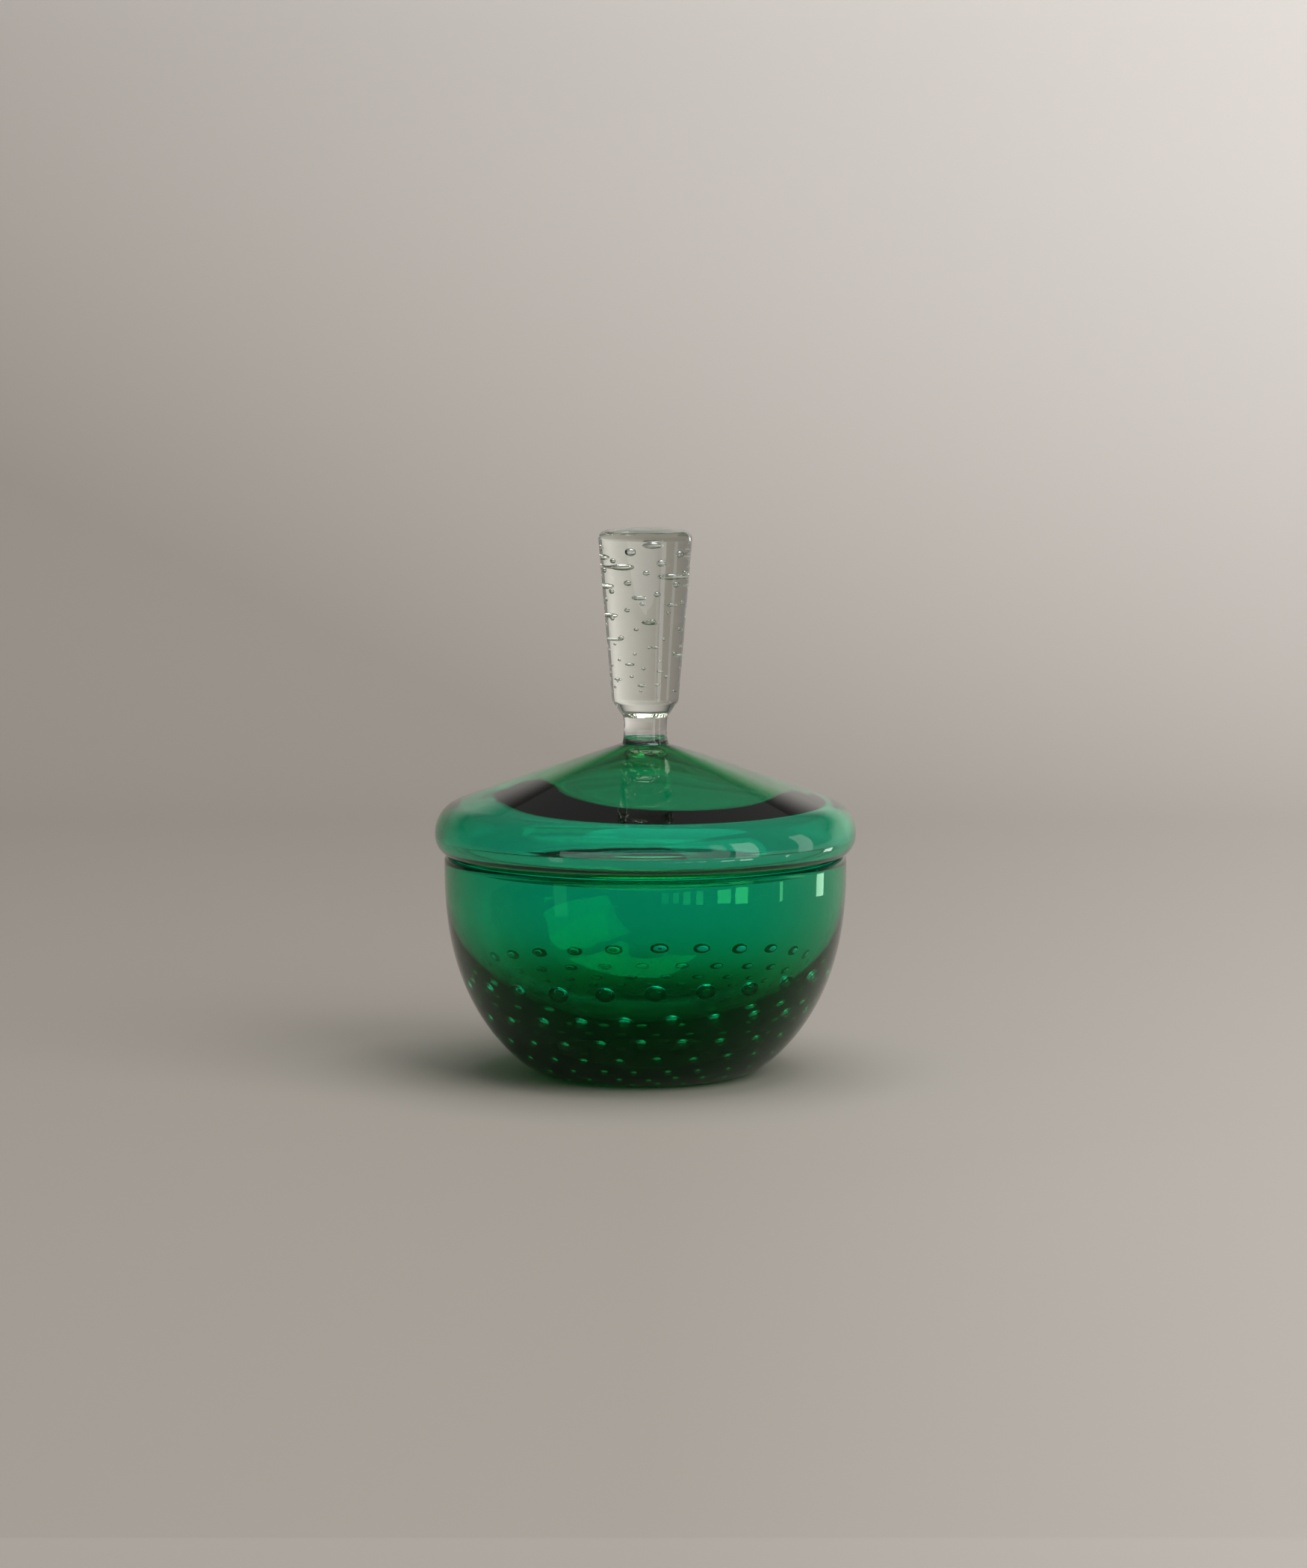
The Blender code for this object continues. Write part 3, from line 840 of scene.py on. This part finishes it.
class LidSizes(bpy.types.PropertyGroup):
    """The sea green lid."""

    rim_wall: metres("Rim Wall", 0.0030, "Thickness of the bowl's wall at the rim that the lid rests on")
    seat_gap: metres("Seat Gap", 0.0003, "Gap between the rolled edge and the bowl's rim")
    flange_clearance: metres("Flange Clearance", 0.0020, "Gap between the flange and the bowl")
    edge_wall: metres("Edge Wall", 0.0025, "Thickness of the shoulder, the rolled edge and the flange")
    swell_depth: metres("Swell Depth", 0.0028, "How much thicker the crown is than the edge")
    swell_radius: metres("Swell Radius", 0.0560, "Radius at which the crown is as thin as the edge")
    swell_taper: metres("Swell Taper", 0.0230, "Width over which the crown thins")
    swell_centre: bpy.props.FloatVectorProperty(
        name="Swell Centre", default=(0.0068, -0.0105, 0.0), unit="LENGTH", precision=5,
        description="Where the thick crown sits: right of the axis and in front of it")
    ripple: metres("Ripple", 0.0002, "Unevenness of the inside")
    crown_rounding: metres("Crown Rounding", 0.0080, "Softening of the crown's inside at the middle")
    roll_radius: metres("Roll Radius", 0.0066, "Radius of the rolled edge")
    band_height: metres("Band Height", 0.0010, "Straight band at the widest line")
    shoulder_radius: metres("Shoulder Radius", 0.0100, "Radius of the shoulder")
    flange_fillet: metres("Flange Fillet", 0.0008, "Fillet between the rolled edge and the flange")
    dome_height: metres("Dome Height", 0.0030, "Height of the green dome inside the finial's foot")
    low_slope: degrees("Low Slope", 20.7, "Slope of the crown at the shoulder")
    high_slope: degrees("High Slope", 18.4, "Slope of the crown at the finial")
    wave_size: metres("Wave Size", 0.015, "Width of the faint waves in the polished surface")
    absorbed: absorption((900.0, 80.0, 170.0))


class FinialSizes(bpy.types.PropertyGroup):
    """The clear finial and its spiral of bubbles."""

    top_radius: metres("Top Radius", 0.0153, "Radius of the body at the top")
    low_radius: metres("Low Radius", 0.0107, "Radius of the body above the shoulder")
    body_height: metres("Body Height", 0.0547, "Height of the tapering body")
    crown_rise: metres("Crown Rise", 0.0006, "How much the top face swells")
    edge_radius: metres("Edge Radius", 0.0026, "Rounding of the top edge")
    shoulder_height: metres("Shoulder Height", 0.0050, "Height of the shoulder")
    shoulder_rounding: metres("Shoulder Rounding", 0.0030, "Rounding from the body into the shoulder")
    collar_radius: metres("Collar Radius", 0.0072, "Radius where the shoulder meets the neck")
    collar_rounding: metres("Collar Rounding", 0.0006, "Rounding from the shoulder into the neck")
    waist_radius: metres("Waist Radius", 0.0069, "Narrowest radius of the neck")
    foot_radius: metres("Foot Radius", 0.0075, "Radius of the foot on the lid")
    seam_wall: metres("Seam Wall", 0.0006, "Clear glass outside the lid's dome")
    fusion: metres("Fusion", 0.0001, "How far the two glasses run into each other")
    bubbles: whole("Bubbles", 76, "Bubbles in the spiral")
    first_depth: metres("First Depth", 0.0042, "Depth of the highest bubble under the top")
    spacing: metres("First Spacing", 0.00081, "Drop from the first bubble to the second")
    spacing_ratio: ratio("Spacing Ratio", 0.9933, "How the drop shrinks from bubble to bubble")
    bubble_width: metres("Bubble Width", 0.0032, "Width of the highest bubble")
    width_ratio: ratio("Width Ratio", 0.9855, "How the bubbles shrink from one to the next")
    ring_share: ratio("Ring Share", 0.72, "Radius of the spiral as a share of the body's")
    roundness: ratio("Bubble Roundness", 0.72, "Height and depth of a bubble as a share of its width")
    twist: degrees("Twist", 82.5, "How far each bubble is turned past the one above")
    drift: triple("Drift", (0.0010, 0.0006, 0.0004), "Chance shift in depth, round and in height")
    size_drift: ratio("Size Drift", 0.25, "Chance change of a bubble's size")
    bubble_seed: whole("Bubble Seed", 11, "Seed of the chance shifts")
    wave_size: metres("Wave Size", 0.008, "Width of the faint waves in the polished surface")
    absorbed: absorption((11.0, 9.5, 12.5))


class StageSizes(bpy.types.PropertyGroup):
    """The floor, the light and the camera."""

    paper_low: paper_colour("Paper Low", "9f9992", "Colour of the paper at the table")
    # The colour that the painted light runs towards, high on the right.
    paper_painted_light: paper_colour("Paper High", "ebe7e4", "Colour of the paper high on the right")
    wall_height: metres("Wall Height", 0.72, "Height of the paper's wall")
    # Where painted shade darkens the wall high up and the floor far in front.
    painted_shade_start: metres("Fade Start", 0.37, "Height above which the wall falls into shade")
    painted_floor_shade_start: metres("Near Fade Start", 0.60, "Distance in front where the floor starts to darken")
    painted_floor_shade_end: metres("Near Fade End", 1.40, "Distance in front where it is darkest, by the lamp")
    view_distance: metres("View Distance", 1.8, "Distance from the camera to the jar's axis")
    camera_height: metres("Camera Height", 0.308, "Height of the camera above the table")
    aim_height: metres("Aim Height", 0.0934, "Height on the jar's axis at the middle of the picture")
    side_step: metres("Side Step", 0.0026, "How far right of the jar's axis the camera stands")
    view_height: metres("View Height", 0.504, "Height that the picture takes in at the jar")


# The pieces


def make_piece(name, meshes, body, node):
    """One object from one or more meshes, riding on a body in place of its CAD node."""
    piece = new_object(name, meshes[0])
    if len(meshes) > 1:
        extra = new_object(name + "_extra", meshes[1])
        with bpy.context.temp_override(active_object=piece, selected_editable_objects=[piece, extra]):
            bpy.ops.object.join()
    piece.data.name = name
    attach(piece, body)
    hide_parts(node)


class POWDERJAR_OT_bowl(bpy.types.Operator):
    """Turn the emerald bowl and trap rings of bubbles in its wall"""

    bl_idname = "powderjar.bowl"
    bl_label = "Emerald Bowl"

    def execute(self, context):
        sizes = context.scene.powderjar_bowl
        # Emerald glass, blown: clear green where thin, almost black low down where it is thick.
        material = glass("emerald blown glass", sizes.absorbed, sizes.wave_size, EMERALD_MIRROR)
        points, weights = bowl_outline(sizes)
        shell = evaluate("bowl_shell", points, weights, turning_tree(), {
            "Steps": VESSEL_STEPS, "Ripple": sizes.ripple, "Ripple Size": RIPPLE_SCALE,
            "Seed": BOWL_RIPPLE_SEED, "Material": material,
        })

        # The bubbles follow the outside at one depth, from the highest ring to the foot.
        outside = bowl_outside(sizes, TRACK_COUNT)
        track = []
        for before, here, after in zip(outside, outside[1:], outside[2:]):
            run = (Vector(after) - Vector(before)).normalized()
            inward = Vector((run.y, -run.x))
            point = Vector(here) + inward * sizes.ring_depth
            if point.y < sizes.ring_height and point.x > sizes.ring_depth:
                track.append(tuple(point))
        bubbles = evaluate("bowl_bubbles", track, [0.0] * len(track), bubble_tree(), {
            "Rings": sizes.rings, "Bubbles per Ring": sizes.per_ring, "First Spacing": sizes.spacing,
            "Spacing Ratio": sizes.spacing_ratio, "First Width": sizes.bubble_width,
            "Width Ratio": sizes.width_ratio, "Height Share": sizes.height_share,
            "Depth Share": sizes.depth_share, "Phase": sizes.phase, "Twist": sizes.twist,
            "Lean": tuple(sizes.lean), "Drift": tuple(sizes.drift), "Size Drift": sizes.size_drift,
            "Seed": sizes.bubble_seed, "Material": material,
        })
        make_piece("emerald_bowl", [shell, bubbles], "bowl", "bowl")
        return {"FINISHED"}


class POWDERJAR_OT_lid(bpy.types.Operator):
    """Turn the sea green lid with its rolled edge and flange"""

    bl_idname = "powderjar.lid"
    bl_label = "Sea Green Lid"

    def execute(self, context):
        sizes = context.scene.powderjar_lid
        # Sea green glass, blown thin: light and watery at the edge, with a dark crescent where the
        # underside of its thick crown throws the light sideways.
        material = glass("sea green blown glass", sizes.absorbed, sizes.wave_size, SEA_GREEN_MIRROR)
        points, weights = lid_outline(sizes, context.scene.powderjar_finial)
        shell = evaluate("lid_shell", points, weights, turning_tree(), {
            "Steps": VESSEL_STEPS, "Swell Centre": tuple(sizes.swell_centre),
            "Swell Radius": sizes.swell_radius, "Swell Taper": sizes.swell_taper,
            "Swell Depth": sizes.swell_depth, "Ripple": sizes.ripple, "Ripple Size": RIPPLE_SCALE,
            "Seed": LID_RIPPLE_SEED, "Material": material,
        })
        make_piece("sea_green_lid", [shell], "lid", "lid")
        return {"FINISHED"}


class POWDERJAR_OT_finial(bpy.types.Operator):
    """Turn the clear finial and trap a spiral of bubbles in it"""

    bl_idname = "powderjar.finial"
    bl_label = "Clear Finial"

    def execute(self, context):
        sizes = context.scene.powderjar_finial
        # Clear glass, solid: bright and faintly grey, so that its outlined bubbles and dark edges show.
        material = glass("clear solid glass", sizes.absorbed, sizes.wave_size, CLEAR_MIRROR)
        points, weights = finial_outline(sizes, context.scene.powderjar_lid.dome_height)
        shell = evaluate("finial_shell", points, weights, turning_tree(), {
            "Steps": FINIAL_STEPS, "Material": material,
        })

        # The spiral runs down inside the taper, one bubble at a time.
        top_z = FINIAL_TOP.z - sizes.first_depth
        low_z = FINIAL_TOP.z - sizes.crown_rise - sizes.body_height
        top_r = sizes.top_radius * sizes.ring_share
        track = [(top_r, top_z), (sizes.low_radius * sizes.ring_share, low_z)]
        bubbles = evaluate("finial_bubbles", track, [0.0, 0.0], bubble_tree(), {
            "Rings": sizes.bubbles, "Bubbles per Ring": 1, "First Spacing": sizes.spacing,
            "Spacing Ratio": sizes.spacing_ratio, "First Width": sizes.bubble_width,
            "Width Ratio": sizes.width_ratio, "Height Share": sizes.roundness,
            "Depth Share": sizes.roundness, "Phase": 0.0, "Twist": sizes.twist, "Lean": (0.0, 0.0, 0.0),
            "Drift": tuple(sizes.drift), "Size Drift": sizes.size_drift, "Seed": sizes.bubble_seed,
            "Material": material,
        })
        make_piece("clear_finial", [shell, bubbles], "lid", "finial")
        return {"FINISHED"}


class POWDERJAR_OT_stage(bpy.types.Operator):
    """Lay the pale paper sweep, set the soft light and place the camera"""

    bl_idname = "powderjar.stage"
    bl_label = "Studio"

    def execute(self, context):
        scene = context.scene
        paper_sweep(scene.powderjar_stage)
        for name, (location, target, side, power, colour) in LAMPS.items():
            soft_lamp(name, location, target, side, power, colour)
        # Painted highlights: glowing panes that only the glass reflects and that light nothing.
        for number, (azimuth, width, height, strength) in enumerate(PANES):
            painted_highlight_pane(f"painted_window_highlight_{number}", beside(azimuth, PANE_HEIGHT), width, height, strength)
        for number, (azimuth, width, height, strength) in enumerate(TALL_PANES):
            painted_highlight_pane(f"tall_painted_highlight_{number}", beside(azimuth, TALL_PANE_HEIGHT), width, height, strength)
        # A painted reflection: a glowing card in front that only the glass reflects.
        painted_highlight_pane("painted_reflection_card", *FRONT_CARD)
        scene.world = room()
        place_camera(scene.powderjar_stage)
        scene.view_settings.view_transform = "Standard"
        scene.cycles.max_bounces = GLASS_BOUNCES
        scene.cycles.transmission_bounces = GLASS_BOUNCES
        scene.cycles.glossy_bounces = GLOSSY_BOUNCES
        return {"FINISHED"}


class POWDERJAR_PT_panel(bpy.types.Panel):
    """The jar's pieces in the sidebar"""

    bl_label = "Powder Jar"
    bl_space_type = "VIEW_3D"
    bl_region_type = "UI"
    bl_category = "Powder Jar"

    def draw(self, context):
        for name, (sizes, operator) in GROUPS.items():
            box = self.layout.box()
            for size in sizes.__annotations__:
                box.prop(getattr(context.scene, name), size)
            box.operator(operator.bl_idname)


GROUPS = {
    "powderjar_bowl": (BowlSizes, POWDERJAR_OT_bowl),
    "powderjar_lid": (LidSizes, POWDERJAR_OT_lid),
    "powderjar_finial": (FinialSizes, POWDERJAR_OT_finial),
    "powderjar_stage": (StageSizes, POWDERJAR_OT_stage),
}


def register():
    for name, (sizes, operator) in GROUPS.items():
        bpy.utils.register_class(sizes)
        setattr(bpy.types.Scene, name, bpy.props.PointerProperty(type=sizes))
        bpy.utils.register_class(operator)
    bpy.utils.register_class(POWDERJAR_PT_panel)


def unregister():
    bpy.utils.unregister_class(POWDERJAR_PT_panel)
    for name, (sizes, operator) in GROUPS.items():
        bpy.utils.unregister_class(operator)
        delattr(bpy.types.Scene, name)
        bpy.utils.unregister_class(sizes)


def main():
    register()
    bpy.ops.powderjar.bowl()
    bpy.ops.powderjar.lid()
    bpy.ops.powderjar.finial()
    bpy.ops.powderjar.stage()


if __name__ == "__main__":
    main()
